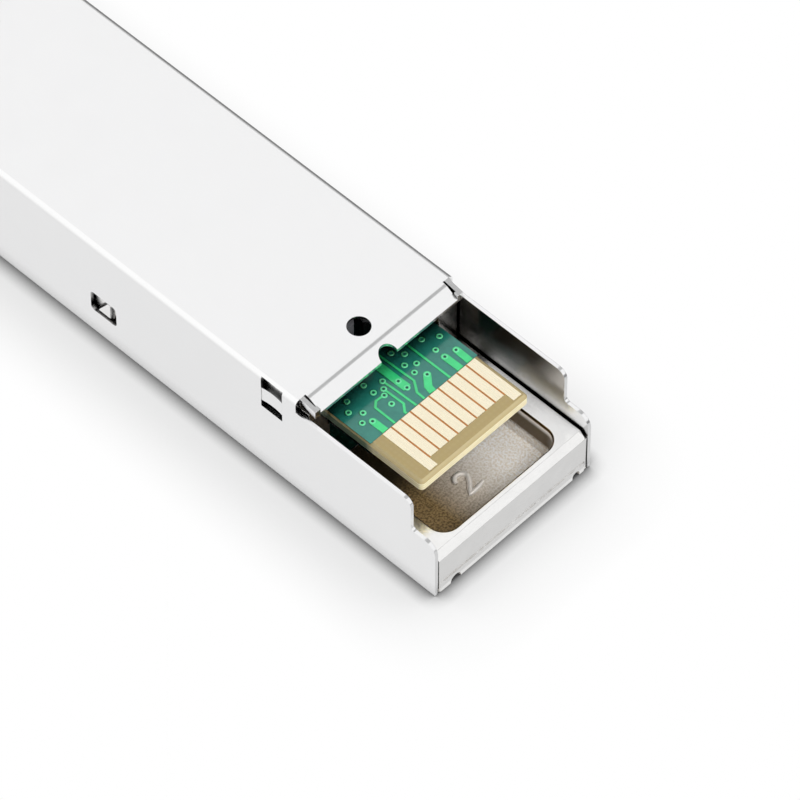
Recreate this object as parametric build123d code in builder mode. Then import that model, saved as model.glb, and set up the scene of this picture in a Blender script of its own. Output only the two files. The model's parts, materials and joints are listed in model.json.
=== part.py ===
from build123d import *
import os
from math import cos, radians, sin

os.makedirs("parts", exist_ok=True)

# Pluggable optical transceiver module, in millimetres. X runs across the module. Y runs along
# it, from the card edge to the optical ports. Z is up: the label side is down and the latch
# side is up. The origin is on the label side, under the middle of the whole part. Values that
# start with y_ are distances along the module from its connector end.

# Body
body_width = 13.4
body_height = 8.5
body_length = 56.5
casting_gap = 0.13
casting_corner = 0.2
lug_width = 0.4
lug_gap = 0.02
roof_gap = 0.05
floor_thickness = 0.7

# Open connector end
end_wall = 0.9
end_step = 0.06
end_step_height = 0.8
rim_height = 3.45
rim_bevel = 0.45
tub_rim_radius = 0.15
y_opening = 10.7
tub_wall = 1.32
tub_corner = 1.1
foot_groove_depth = 0.8
near_groove = {"x": -4.9, "width": 0.85, "height": 0.5}
far_groove = {"x": 5.5, "width": 0.6, "height": 0.5}

# Sheet cover
sheet = 0.25
bend_radius = 0.4
hem_gap = 0.05
skirt_low_height = 4.83
skirt_low_corner = 0.95
y_skirt_step = 2.0
skirt_step_fillet = 0.3
skirt_tall_drop = 1.0
skirt_tall_corner = 0.65
y_skirt_relief = 11.45
y_lip_fold = 11.2
lip_reach = 1.0
lip_drop = 0.6
lip_inset = 0.85
fold_radius = 0.6
fold_inner_radius = 0.35
ear_slit = 0.14
ear_slit_length = 0.95
ear_width = 0.45
ear_rise = 0.35
lip_notch_radius = 0.67
vent_radius = 0.75
y_vent = 12.73
y_window = 27.8
window_length = 2.2
window_height = 1.7
window_bottom = 2.06
window_corner = 0.3
hook_low_gap = 0.1
hook_high_gap = 0.2
hook_rear_gap = 0.5
hook_front_gap = 0.35
hook_slope_run = 0.25
hook_slope_rise = 0.45
hook_sink = 0.08
hook_draft = 25.0
y_bridge = 13.45
bridge_length = 1.75
bridge_slot_drop = 0.15
bridge_top_drop = 1.2
bridge_bottom_drop = 2.38
bridge_slit = 0.5
bridge_bow = 0.14
cover_seam = 0.3
boss_window_gap = 0.15

# Circuit board and card edge
board_inset = 0.4
board_thickness = 1.0
board_depth = 2.25
board_side_gap = 0.15
board_seat_gap = 0.02
board_ledge = 0.15
y_board = 3.13
board_end_gap = 0.27
board_bevel = 0.22
board_corner = 0.3
pad_count = 10
pad_row_margin = 1.5
pad_spacing = 0.12
pad_thickness = 0.04
pad_row_offset = 0.34
y_pad_back = 7.3
y_long_pad = 3.44
y_short_pad = 4.13

# Nose
flange_length = 9.0
flange_overhang = 0.3
flange_rise = 1.7
bail_recess_length = 2.6
bail_recess = 1.0
nose_edge_radius = 0.3
label_recess_depth = 0.1
label_margin = 0.65
y_label_start = 12.0
label_end_gap = 9.5

# Optical ports
port_wall = 1.55
port_side_wall = 0.525
port_drop = 3.5
port_tall = 4.7
port_depth = 6.1
port_chamfer = 0.25
plug_slot_shoulder = 0.85
plug_slot_floor = 1.45
plug_slot_depth = 4.3
plug_catch_depth = 1.9
plug_catch_length = 1.6
chamber_gap = 0.3
wall_setback = 10.5
wall_thickness = 4.0

# Optical subassemblies
bay_wall = 0.45
bay_length = 5.6
ferrule_bore_radius = 0.626
ferrule_bore_length = 5.0
sleeve_step = 0.35
sleeve_reach = 5.0
sleeve_chamfer = 0.2
neck_step = 0.7
neck_fit = 0.05
barrel_gap = 1.25
barrel_length = 2.35
groove_step = 0.8
groove_width = 0.8
can_step = 0.2
can_length = 2.1
can_edge_chamfer = 0.3
header_step = 0.1
header_thickness = 0.4
lead_radius = 0.2
lead_sides = 6
lead_circle_radius = 1.1
lead_length = 0.3
retainer_thickness = 0.65
retainer_slot_depth = 0.25
retainer_gap = 0.06
retainer_corner = 0.3
flex_thickness = 0.12
flex_margin = 0.05
flex_bend_radius = 0.35
flex_landing = 1.7

# Latch lever
pivot_drop = 1.3
pivot_setback = 7.3
pin_radius = 0.4
pin_press_fit = 0.01
pin_running_fit = 0.05
pin_end_gap = 0.05
lever_width = 2.6
lever_side_gap = 0.1
lever_thickness = 0.55
lever_roof_gap = 0.1
lever_hub_radius = 0.8
boss_setback = 2.5
boss_length = 1.05
lever_tail = 0.75
boss_height = 0.45
boss_land = 0.5
lever_swing = 8.0
lever_head_margin = 0.1
lever_head_length = 1.2
lever_head_overlap = 0.25
lever_head_gap = 0.08
lever_front_thickness = 0.55
channel_floor_gap = 0.15
crank_floor_gap = 0.1
channel_front_setback = 6.4

# Latch spring
spring_setback = 1.0
spring_radius = 0.62
spring_wire = 0.2
spring_turns = 3
spring_wire_sides = 6
spring_pocket_depth = 0.8
spring_pocket_gap = 0.15
spring_end_gap = 0.02

# Bail
bail_setback = 1.3
bail_drop = 1.0
bail_wire_radius = 0.45
bail_wire_sides = 12
bail_slot_fit = 0.05
bail_side_gap = 0.07
bail_swing = 90.0
crank_length = 1.4
crank_jog = 0.8
crank_margin = 0.3
crank_bend_radius = 0.3
bail_shoulder_radius = 0.6
bail_corner_radius = 1.2
crossbar_height = 0.72
grip_width = 6.4
grip_height = 1.3
grip_depth = 1.5
grip_corner = 0.35
grip_fit = 0.02
grip_gap = 0.15
keeper_thickness = 0.3
keeper_land = 1.6
keeper_gap = 0.05
keeper_margin = 1.1
keeper_corner = 0.2

# Chips and small components
chip_height = 0.85
chip_standoff = 0.05
chip_bevel = 0.1
driver_margin = 0.5
driver_clearance = 0.6
driver_setback = 7.0
amplifier_margin = 0.8
amplifier_clearance = 1.6
controller_size = 5.0
controller_offset = 10.8
memory_width = 2.0
memory_length = 3.0
memory_height = 0.75
memory_x = 2.6
memory_offset = 5.4
inductor_width = 1.6
inductor_length = 2.0
inductor_height = 1.1
inductor_pitch = 2.4
inductor_gap = 1.0
inductor_corner = 0.25
inductor_offset = 13.2
chip_part_length = 1.0
chip_part_width = 0.5
capacitor_height = 0.5
capacitor_x = -1.6
capacitor_pitch = 1.5
capacitor_row_pitch = 1.0
lower_capacitor_pitch = 1.6
lower_capacitor_row_pitch = 0.9
lower_capacitor_gap = 1.5
resistor_height = 0.35
resistor_pitch = 1.6
resistor_row_pitch = 1.1
pedestal_margin = 0.3
pedestal_length = 5.6
thermal_pad_thickness = 0.6
thermal_pad_gap = 0.03
thermal_pad_margin = 0.3

# Worked-out sizes
overall_length = body_length + grip_gap + grip_depth
y_zero = -overall_length / 2
half_body = body_width / 2
cover_inside = half_body - sheet
casting_half = cover_inside - casting_gap
wall_top = body_height - sheet - roof_gap
tub_width = 2 * (casting_half - tub_wall)
skirt_tall_height = body_height - skirt_tall_drop
lip_half_width = half_body - lip_inset
lip_bottom = body_height - lip_drop - sheet
bridge_bottom = body_height - bridge_bottom_drop
bridge_top = body_height - bridge_top_drop

# Stations that are measured back from the optical end
y_stop = body_length - flange_length
y_bail_recess = body_length - bail_recess_length
y_label_end = y_stop - label_end_gap
y_wall_front = body_length - wall_setback
y_wall_rear = y_wall_front - wall_thickness
y_bay = y_wall_rear - bay_length
y_groove = y_wall_rear - barrel_length / 2
y_pivot = body_length - pivot_setback
y_boss_front = y_stop - boss_setback
y_boss_rear = y_boss_front - boss_length
y_lever_rear = y_boss_rear - lever_tail
y_spring = y_boss_front - spring_setback
y_channel_front = body_length - channel_front_setback
y_bail = body_length - bail_setback
y_cover_front = y_stop - cover_seam
y_crossbar = body_length + grip_gap + grip_depth / 2

# Nose and ports
flange_width = body_width + 2 * flange_overhang
flange_height = body_height + flange_rise
nose_front_width = flange_width - 2 * bail_recess
port_width = (nose_front_width - port_wall - 2 * port_side_wall) / 2
port_x = (port_width + port_wall) / 2
port_height = body_height - port_drop
port_centres = [(-port_x, port_height), (port_x, port_height)]
bay_width = 2 * (casting_half - bay_wall)
barrel_radius = port_x - barrel_gap / 2
neck_radius = barrel_radius - neck_step
sleeve_radius = neck_radius - sleeve_step
groove_radius = barrel_radius - groove_step
can_radius = barrel_radius - can_step
header_radius = barrel_radius + header_step

# Board and what is on it
board_width = tub_width - 2 * board_inset
board_top = body_height - board_depth
board_bottom = board_top - board_thickness
board_channel = board_width + 2 * board_side_gap
board_length = y_bay - board_end_gap - y_board
pad_pitch = board_width / (pad_count + pad_row_margin)
pad_width = pad_pitch - pad_spacing
driver_size = board_width / 2 - driver_clearance
driver_x = driver_margin + driver_size / 2 - board_width / 2
amplifier_size = board_width / 2 - amplifier_clearance
amplifier_x = board_width / 2 - amplifier_margin - amplifier_size / 2
y_driver = y_bay - driver_setback
y_controller = y_driver - controller_offset
y_memory = y_driver - memory_offset
y_inductors = y_driver - inductor_offset
pedestal_width = board_width - 2 * pedestal_margin
y_pedestal = y_driver - pedestal_length / 2
flex_width = board_width - 2 * port_x - flex_margin

# Latch and bail
pivot_height = flange_height - pivot_drop
bail_height = flange_height - bail_drop
bail_arm_x = nose_front_width / 2 + bail_side_gap + bail_wire_radius
lever_rear_top = body_height - sheet - lever_roof_gap
lever_rear_bottom = lever_rear_top - lever_thickness
channel_width = lever_width + 2 * lever_side_gap
channel_head_width = nose_front_width - 2 * keeper_land
crank_outer_x = channel_head_width / 2 - crank_margin - crank_jog
crank_inner_x = crank_outer_x - crank_length
lever_head_width = 2 * (crank_outer_x - lever_head_margin)
keeper_floor = flange_height - keeper_thickness

# The crank's throw is such that the bail's whole swing lifts the lever through its own swing
lever_drop = sin(radians(lever_swing))
half_bail_swing = radians(bail_swing / 2)
crank_throw = (y_bail - y_pivot) * lever_drop / (
    2 * sin(half_bail_swing) - cos(half_bail_swing) * lever_drop
)
crank_y = y_bail + crank_throw * cos(half_bail_swing)
crank_z = bail_height - crank_throw * sin(half_bail_swing)
lever_head_bottom = crank_z + bail_wire_radius + lever_head_gap

# Channel floors that the lever and the crank clear all through their swing
channel_low_floor = lever_rear_bottom - (y_pivot - y_lever_rear) * lever_drop - channel_floor_gap
channel_hub_floor = lever_rear_bottom - (y_pivot - y_wall_front) * lever_drop - channel_floor_gap
channel_front_floor = crank_z - bail_wire_radius - crank_floor_gap
spring_floor = channel_low_floor - spring_pocket_depth

# Reach of the cuts past the solids, and how near an edge is to the place it is sought at
clear = 1.0
near = 0.02


def along(distance):
    """Y of a place that lies this far from the connector end."""
    return y_zero + distance


boss_corners = [
    (-lever_width / 2, along(y_boss_front)),
    (lever_width / 2, along(y_boss_front)),
    (0, along(y_boss_rear)),
]


def cross_plane(distance):
    """Plane across the module that faces the connector end."""
    return Plane(origin=(0, along(distance), 0), x_dir=(1, 0, 0), z_dir=(0, -1, 0))


def slab(width, y_from, y_to, z_from, z_to, centre_x=0.0, mode=Mode.ADD):
    """Rectangular length of the module between two stations and two heights."""
    with BuildSketch(Plane.XY.offset(z_from)) as plan:
        with Locations((centre_x, along((y_from + y_to) / 2))):
            Rectangle(width, y_to - y_from)
    extrude(plan.sketch, amount=z_to - z_from, mode=mode)


# Die-cast housing: tub, side walls, optics bay and nose
with BuildPart() as housing:
    with BuildSketch() as casting_plan:
        with Locations((0, along(y_stop / 2))):
            Rectangle(2 * casting_half, y_stop)
        fillet(casting_plan.vertices().group_by(Axis.Y)[0], radius=casting_corner)
    extrude(amount=wall_top)
    slab(flange_width, y_stop, y_bail_recess, 0, flange_height)
    slab(nose_front_width, y_bail_recess, body_length, 0, flange_height)
    flange_edges = housing.edges().filter_by(Axis.Y).filter_by_position(
        Axis.Y, along(y_stop), along(body_length)
    )
    fillet(flange_edges.group_by(Axis.Z)[-1], radius=nose_edge_radius)

    # Opening over the card edge, and the step across the end face
    slab(body_width, -clear, y_opening, rim_height, body_height, mode=Mode.SUBTRACT)
    slab(body_width, -clear, end_step, end_step_height, rim_height, mode=Mode.SUBTRACT)

    # Tub with rounded corners beside the end wall
    with BuildSketch(Plane.XY.offset(floor_thickness)) as tub:
        with Locations((0, along((end_wall + y_opening) / 2))):
            Rectangle(tub_width, y_opening - end_wall)
        fillet(tub.vertices().group_by(Axis.Y)[0], radius=tub_corner)
    extrude(amount=rim_height, mode=Mode.SUBTRACT)
    rim_edges = housing.edges().filter_by_position(Axis.Z, rim_height - near, rim_height + near)
    chamfer(rim_edges.filter_by(Axis.X).sort_by(Axis.Y)[0], length=rim_bevel)

    # Lug of the end wall that closes the gap beside the far skirt
    slab(
        lug_width, end_step, end_wall, 0, rim_height - rim_bevel,
        centre_x=cover_inside - lug_gap - lug_width / 2,
    )
    rim_edges = housing.edges().filter_by_position(Axis.Z, rim_height - near, rim_height + near)
    tub_edges = rim_edges.filter_by_position(
        Axis.Y, along(end_wall) - near, along(y_opening) - clear
    )
    tub_reach = tub_width / 2 + near
    fillet(tub_edges.filter_by_position(Axis.X, -tub_reach, tub_reach), radius=tub_rim_radius)

    # The side walls stay low under the cover's lip
    slab(
        body_width, y_opening - clear, y_skirt_relief, lip_bottom - roof_gap, body_height,
        mode=Mode.SUBTRACT,
    )

    # Channel under the board, board channel above its ledges, and optics bay
    slab(
        board_channel - 2 * board_ledge, end_wall + tub_corner, y_bay,
        floor_thickness, board_top, mode=Mode.SUBTRACT,
    )
    slab(
        board_channel, y_opening - clear, y_bay,
        board_bottom - board_seat_gap, body_height, mode=Mode.SUBTRACT,
    )
    slab(bay_width, y_bay, y_wall_rear, floor_thickness, body_height, mode=Mode.SUBTRACT)

    # Slots in the bay's side walls for the plate that holds the barrels
    slab(
        bay_width + 2 * retainer_slot_depth, y_groove - groove_width / 2,
        y_groove + groove_width / 2, floor_thickness, body_height, mode=Mode.SUBTRACT,
    )

    # Pedestal that carries heat from the chips to the floor
    slab(
        pedestal_width, y_pedestal, y_pedestal + pedestal_length, floor_thickness,
        board_bottom - chip_standoff - chip_height - thermal_pad_gap - thermal_pad_thickness,
    )

    # Barrel bores, sleeve chambers and plug ports
    with BuildSketch(cross_plane(y_wall_front)):
        with Locations(*port_centres):
            Circle(neck_radius + neck_fit)
    extrude(amount=y_wall_front - y_wall_rear + clear, mode=Mode.SUBTRACT)
    with BuildSketch(cross_plane(body_length - port_depth)):
        with Locations(*port_centres):
            Circle(neck_radius + chamber_gap)
    extrude(amount=body_length - port_depth - y_wall_front, mode=Mode.SUBTRACT)
    with BuildSketch(cross_plane(body_length)):
        with Locations(*port_centres):
            Rectangle(port_width, port_tall)
    extrude(amount=port_depth, mode=Mode.SUBTRACT)
    with BuildSketch(cross_plane(body_length)):
        with Locations(*port_centres):
            Rectangle(port_width + 2 * port_chamfer, port_tall + 2 * port_chamfer)
    extrude(amount=port_chamfer, taper=45, mode=Mode.SUBTRACT)

    # Slots for the plugs' latch arms, with the pockets that their shoulders catch in
    plug_slot_top = port_height + port_tall / 2
    plug_slot_height = plug_slot_top - plug_slot_floor
    plug_slot_centre = (plug_slot_top + plug_slot_floor) / 2
    with BuildSketch(cross_plane(body_length)):
        with Locations((-port_x, plug_slot_centre), (port_x, plug_slot_centre)):
            Rectangle(port_width - 2 * plug_slot_shoulder, plug_slot_height)
    extrude(amount=plug_slot_depth, mode=Mode.SUBTRACT)
    with BuildSketch(cross_plane(body_length - plug_catch_depth)):
        with Locations((-port_x, plug_slot_centre), (port_x, plug_slot_centre)):
            Rectangle(port_width, plug_slot_height)
    extrude(amount=plug_catch_length, mode=Mode.SUBTRACT)

    # Channel for the latch lever, deeper under the boss, and the pocket for its spring
    slab(
        channel_width, y_lever_rear - lever_side_gap, y_wall_front,
        channel_low_floor, flange_height + clear, mode=Mode.SUBTRACT,
    )
    slab(
        channel_width, y_wall_front, y_channel_front,
        channel_hub_floor, flange_height + clear, mode=Mode.SUBTRACT,
    )
    y_head_room = y_bail - lever_head_length / 2
    slab(
        channel_width, y_channel_front, y_head_room,
        channel_front_floor, flange_height + clear, mode=Mode.SUBTRACT,
    )
    slab(
        channel_head_width, y_head_room, body_length + clear,
        channel_front_floor, flange_height + clear, mode=Mode.SUBTRACT,
    )
    with BuildSketch(Plane.XY.offset(spring_floor)):
        with Locations((0, along(y_spring))):
            Circle(spring_radius + spring_wire / 2 + spring_pocket_gap)
    extrude(amount=spring_pocket_depth, mode=Mode.SUBTRACT)

    # Bore for the pivot pin and open slots for the bail's ends
    with BuildSketch(Plane.YZ):
        with Locations((along(y_pivot), pivot_height)):
            Circle(pin_radius + pin_press_fit)
    extrude(amount=flange_width / 2, both=True, mode=Mode.SUBTRACT)
    bail_slot = bail_wire_radius + bail_slot_fit
    with BuildSketch(Plane.YZ):
        with Locations((along(y_bail), bail_height)):
            Circle(bail_slot)
            with Locations((0, (flange_height + clear - bail_height) / 2)):
                Rectangle(2 * bail_slot, flange_height + clear - bail_height)
    extrude(amount=nose_front_width / 2, both=True, mode=Mode.SUBTRACT)
    slab(
        nose_front_width, y_bail - keeper_margin, body_length,
        keeper_floor, flange_height + clear, mode=Mode.SUBTRACT,
    )

    # Snap hooks that stand in the cover's windows
    hook_bottom = window_bottom + hook_low_gap
    hook_top = window_bottom + window_height - hook_high_gap
    hook_rear = y_window - window_length / 2 + hook_rear_gap
    hook_front = y_window + window_length / 2 - hook_front_gap
    for side in (-1, 1):
        hook_plane = Plane(origin=(side * casting_half, 0, 0), x_dir=(0, side, 0), z_dir=(side, 0, 0))
        with BuildSketch(hook_plane) as hook_face:
            with BuildLine():
                Polyline(
                    (side * along(hook_rear), hook_bottom),
                    (side * along(hook_front), hook_bottom),
                    (side * along(hook_front - hook_slope_run), hook_bottom + hook_slope_rise),
                    (side * along(hook_rear + hook_slope_rise), hook_top),
                    (side * along(hook_rear), hook_top),
                    close=True,
                )
            make_face()
        extrude(amount=half_body - casting_half - hook_sink, taper=hook_draft)

    # Grooves under the connector end and the shallow recess of the label side
    for groove in (near_groove, far_groove):
        with BuildSketch(cross_plane(foot_groove_depth)) as groove_arch:
            with Locations((groove["x"], 0)):
                SlotOverall(2 * groove["height"], groove["width"], rotation=90)
        extrude(amount=foot_groove_depth + clear, mode=Mode.SUBTRACT)
    slab(
        2 * (casting_half - label_margin), y_label_start, y_label_end,
        -clear, label_recess_depth, mode=Mode.SUBTRACT,
    )
housing.part.label = "housing"
export_step(housing.part, "parts/housing.step")

# Folded sheet cover: a bent channel trimmed to the skirts' outline
with BuildPart() as cover:
    slab(body_width, 0, y_cover_front, hem_gap, body_height)
    fillet(cover.edges().filter_by(Axis.Y).group_by(Axis.Z)[-1], radius=bend_radius)
    open_faces = cover.faces().filter_by(Axis.Y) + cover.faces().sort_by(Axis.Z)[0:1]
    offset(amount=-sheet, openings=open_faces)

    # The skirts step down from the closed top to the connector end
    with BuildSketch(Plane.YZ) as skirt_waste:
        with BuildLine():
            Polyline(
                (along(-clear), skirt_low_height),
                (along(y_skirt_step), skirt_low_height),
                (along(y_skirt_step), skirt_tall_height),
                (along(y_skirt_relief), skirt_tall_height),
                (along(y_skirt_relief), body_height + clear),
                (along(-clear), body_height + clear),
                close=True,
            )
        make_face()
        fillet(
            skirt_waste.vertices().sort_by_distance((along(y_skirt_step), skirt_low_height))[0],
            radius=skirt_step_fillet,
        )
        fillet(
            skirt_waste.vertices().sort_by_distance((along(y_skirt_step), skirt_tall_height))[0],
            radius=skirt_tall_corner,
        )
    extrude(amount=half_body + clear, both=True, mode=Mode.SUBTRACT)
    end_edges = cover.edges().filter_by(Axis.X).group_by(Axis.Y)[0]
    fillet(end_edges.group_by(Axis.Z)[-1], radius=skirt_low_corner)

    # Lip that slopes down over the board, with an ear at each end of its fold
    with BuildSketch(Plane.YZ) as lip_section:
        with BuildLine():
            Polyline(
                (along(y_skirt_relief), body_height),
                (along(y_lip_fold), body_height),
                (along(y_lip_fold - lip_reach), body_height - lip_drop),
                (along(y_lip_fold - lip_reach), lip_bottom),
                (along(y_lip_fold), body_height - sheet),
                (along(y_skirt_relief), body_height - sheet),
                close=True,
            )
        make_face()
        fillet(
            lip_section.vertices().sort_by_distance((along(y_lip_fold), body_height))[0],
            radius=fold_radius,
        )
        fillet(
            lip_section.vertices().sort_by_distance((along(y_lip_fold), body_height - sheet))[0],
            radius=fold_inner_radius,
        )
    extrude(amount=lip_half_width, both=True)
    with BuildSketch(Plane.YZ) as ear_section:
        with BuildLine():
            Polyline(
                (along(y_skirt_relief), body_height),
                (along(y_lip_fold - lip_reach), body_height - lip_drop + ear_rise),
                (along(y_lip_fold - lip_reach), lip_bottom),
                (along(y_skirt_relief), body_height - sheet),
                close=True,
            )
        make_face()
    ear_outline = extrude(amount=lip_half_width + ear_width, both=True, mode=Mode.PRIVATE)
    slab_between = Box(
        2 * lip_half_width, 4 * lip_reach, 4 * body_height, mode=Mode.PRIVATE
    ).locate(Location((0, along(y_lip_fold - lip_reach), body_height)))
    add(ear_outline - slab_between)
    with BuildSketch(Plane.XY.offset(lip_bottom - clear)):
        with Locations((0, along(y_skirt_relief - ear_slit_length / 2))):
            with GridLocations(2 * lip_half_width + ear_slit, 1, 2, 1):
                Rectangle(ear_slit, ear_slit_length)
    extrude(amount=2 * clear + lip_drop, mode=Mode.SUBTRACT)
    with BuildSketch(Plane.XY.offset(body_height - lip_drop - clear)):
        with Locations((0, along(y_lip_fold - lip_reach))):
            Circle(lip_notch_radius)
    extrude(amount=2 * clear + lip_drop, mode=Mode.SUBTRACT)

    # Round vent hole in the top
    with Locations(Location((0, along(y_vent), body_height))):
        Hole(vent_radius, depth=2 * sheet)

    # Window that the latch boss stands in
    with BuildSketch(Plane.XY.offset(body_height - 2 * sheet)):
        with BuildLine():
            Polyline(*boss_corners, close=True)
        make_face()
        offset(amount=boss_window_gap, kind=Kind.INTERSECTION)
    extrude(amount=4 * sheet, mode=Mode.SUBTRACT)

    # Snap windows, and the slot and slit on each side of the bridge strip
    with BuildSketch(Plane.YZ) as side_cuts:
        with Locations((along(y_window), window_bottom + window_height / 2)):
            RectangleRounded(window_length, window_height, window_corner)
        bridge_slot_top = body_height - bridge_slot_drop
        bridge_slot_bottom = bridge_bottom - bridge_slit
        with Locations((along(y_bridge), (bridge_slot_bottom + bridge_slot_top) / 2)):
            Rectangle(bridge_length, bridge_slot_top - bridge_slot_bottom)
    extrude(amount=half_body + clear, both=True, mode=Mode.SUBTRACT)

    # Bridge strips bow inward against the housing
    strip_mid = half_body - sheet / 2
    for side in (-1, 1):
        with BuildSketch(Plane.XY.offset(bridge_bottom)) as strip_plan:
            with BuildLine():
                strip_line = ThreePointArc(
                    (side * strip_mid, along(y_bridge - bridge_length / 2 - sheet)),
                    (side * (strip_mid - bridge_bow), along(y_bridge)),
                    (side * strip_mid, along(y_bridge + bridge_length / 2 + sheet)),
                )
            trace(strip_line, line_width=sheet)
        extrude(amount=bridge_top - bridge_bottom)
cover.part.label = "cover"
export_step(cover.part, "parts/cover.step")

# Circuit board with a bevelled card edge
with BuildPart() as circuit_board:
    with BuildSketch(Plane.XY.offset(board_bottom)) as board_plan:
        with Locations((0, along(y_board + board_length / 2))):
            Rectangle(board_width, board_length)
        fillet(board_plan.vertices().group_by(Axis.Y)[0], radius=board_corner)
    extrude(amount=board_thickness)
    card_edges = circuit_board.edges().filter_by(Axis.X).group_by(Axis.Y)[0]
    chamfer(card_edges, length=board_bevel)
circuit_board.part.label = "circuit_board"
export_step(circuit_board.part, "parts/circuit_board.step")


def pad_row(z_from):
    """One row of contact pads, the outer two longer than the rest."""
    with BuildSketch(Plane.XY.offset(z_from)) as row:
        for index in range(pad_count):
            outer = index in (0, pad_count - 1)
            y_tip = y_long_pad if outer else y_short_pad
            pad_x = pad_row_offset + (index - (pad_count - 1) / 2) * pad_pitch
            with Locations((pad_x, along((y_tip + y_pad_back) / 2))):
                Rectangle(pad_width, y_pad_back - y_tip)
    extrude(row.sketch, amount=pad_thickness)


with BuildPart() as contact_pads_upper:
    pad_row(board_top)
contact_pads_upper.part.label = "contact_pads_upper"
export_step(contact_pads_upper.part, "parts/contact_pads_upper.step")

with BuildPart() as contact_pads_lower:
    pad_row(board_bottom - pad_thickness)
contact_pads_lower.part.label = "contact_pads_lower"
export_step(contact_pads_lower.part, "parts/contact_pads_lower.step")


def chip_package(centre_x, y_centre, width, length, height, upper):
    """Flat chip package with a bevelled moulding, on either face of the board."""
    z_from = board_top + chip_standoff if upper else board_bottom - chip_standoff - height
    with BuildSketch(Plane.XY.offset(z_from)) as outline:
        with Locations((centre_x, along(y_centre))):
            Rectangle(width, length)
    extrude(outline.sketch, amount=height)


with BuildPart() as laser_driver:
    chip_package(driver_x, y_driver, driver_size, driver_size, chip_height, upper=False)
    chamfer(laser_driver.edges().group_by(Axis.Z)[0], length=chip_bevel)
laser_driver.part.label = "laser_driver"
export_step(laser_driver.part, "parts/laser_driver.step")

with BuildPart() as receiver_amplifier:
    chip_package(
        amplifier_x, y_driver, amplifier_size, amplifier_size, chip_height, upper=False
    )
    chamfer(receiver_amplifier.edges().group_by(Axis.Z)[0], length=chip_bevel)
receiver_amplifier.part.label = "receiver_amplifier"
export_step(receiver_amplifier.part, "parts/receiver_amplifier.step")

with BuildPart() as microcontroller:
    chip_package(0, y_controller, controller_size, controller_size, chip_height, upper=False)
    chamfer(microcontroller.edges().group_by(Axis.Z)[0], length=chip_bevel)
microcontroller.part.label = "microcontroller"
export_step(microcontroller.part, "parts/microcontroller.step")

with BuildPart() as memory_chip:
    chip_package(memory_x, y_memory, memory_width, memory_length, memory_height, upper=True)
    chamfer(memory_chip.edges().group_by(Axis.Z)[-1], length=chip_bevel)
memory_chip.part.label = "memory_chip"
export_step(memory_chip.part, "parts/memory_chip.step")

with BuildPart() as inductors:
    with BuildSketch(Plane.XY.offset(board_top + chip_standoff)) as inductor_plan:
        with Locations((0, along(y_inductors))):
            with GridLocations(inductor_pitch, inductor_length + inductor_gap, 3, 2):
                Rectangle(inductor_width, inductor_length)
        chamfer(inductor_plan.vertices(), length=inductor_corner)
    extrude(amount=inductor_height)
inductors.part.label = "inductors"
export_step(inductors.part, "parts/inductors.step")

with BuildPart() as capacitors:
    with BuildSketch(Plane.XY.offset(board_top + chip_standoff)):
        with Locations((capacitor_x, along(y_memory))):
            with GridLocations(capacitor_pitch, capacitor_row_pitch, 3, 4):
                Rectangle(chip_part_length, chip_part_width)
    extrude(amount=capacitor_height)
    with BuildSketch(Plane.XY.offset(board_bottom - chip_standoff - capacitor_height)):
        with Locations((0, along(y_controller + controller_size / 2 + lower_capacitor_gap))):
            with GridLocations(lower_capacitor_pitch, lower_capacitor_row_pitch, 5, 2):
                Rectangle(chip_part_length, chip_part_width)
    extrude(amount=capacitor_height)
capacitors.part.label = "capacitors"
export_step(capacitors.part, "parts/capacitors.step")

with BuildPart() as resistors:
    with BuildSketch(Plane.XY.offset(board_top + chip_standoff)):
        with Locations((0, along(y_driver))):
            with GridLocations(resistor_pitch, resistor_row_pitch, 5, 3):
                Rectangle(chip_part_width, chip_part_length)
    extrude(amount=resistor_height)
resistors.part.label = "resistors"
export_step(resistors.part, "parts/resistors.step")

pad_top = board_bottom - chip_standoff - chip_height - thermal_pad_gap
with BuildPart() as thermal_pad:
    slab(
        pedestal_width - 2 * thermal_pad_margin, y_pedestal + thermal_pad_margin,
        y_pedestal + pedestal_length - thermal_pad_margin,
        pad_top - thermal_pad_thickness + thermal_pad_gap, pad_top,
    )
thermal_pad.part.label = "thermal_pad"
export_step(thermal_pad.part, "parts/thermal_pad.step")


def port_axis_plane(port_side):
    """Plane through a port's axis, with its X along the module."""
    return Plane(origin=(port_side * port_x, 0, port_height), x_dir=(0, 1, 0), z_dir=(1, 0, 0))


def port_axis(port_side):
    """Axis of one port."""
    return Axis((port_side * port_x, 0, port_height), (0, 1, 0))


def turned_barrel(port_side):
    """Barrel turned in one piece: body, retaining groove, neck and ferrule sleeve."""
    y_body = y_wall_rear - barrel_length
    y_tip = y_wall_front + sleeve_reach
    with BuildSketch(port_axis_plane(port_side)) as half:
        with BuildLine():
            Polyline(
                (along(y_body), 0),
                (along(y_body), barrel_radius),
                (along(y_groove - groove_width / 2), barrel_radius),
                (along(y_groove - groove_width / 2), groove_radius),
                (along(y_groove + groove_width / 2), groove_radius),
                (along(y_groove + groove_width / 2), barrel_radius),
                (along(y_wall_rear - neck_fit), barrel_radius),
                (along(y_wall_rear - neck_fit), neck_radius),
                (along(y_wall_front), neck_radius),
                (along(y_wall_front), sleeve_radius),
                (along(y_tip - sleeve_chamfer), sleeve_radius),
                (along(y_tip), sleeve_radius - sleeve_chamfer),
                (along(y_tip), ferrule_bore_radius),
                (along(y_tip - ferrule_bore_length), ferrule_bore_radius),
                (along(y_tip - ferrule_bore_length), 0),
                close=True,
            )
        make_face()
    revolve(half.sketch, axis=port_axis(port_side))


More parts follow.
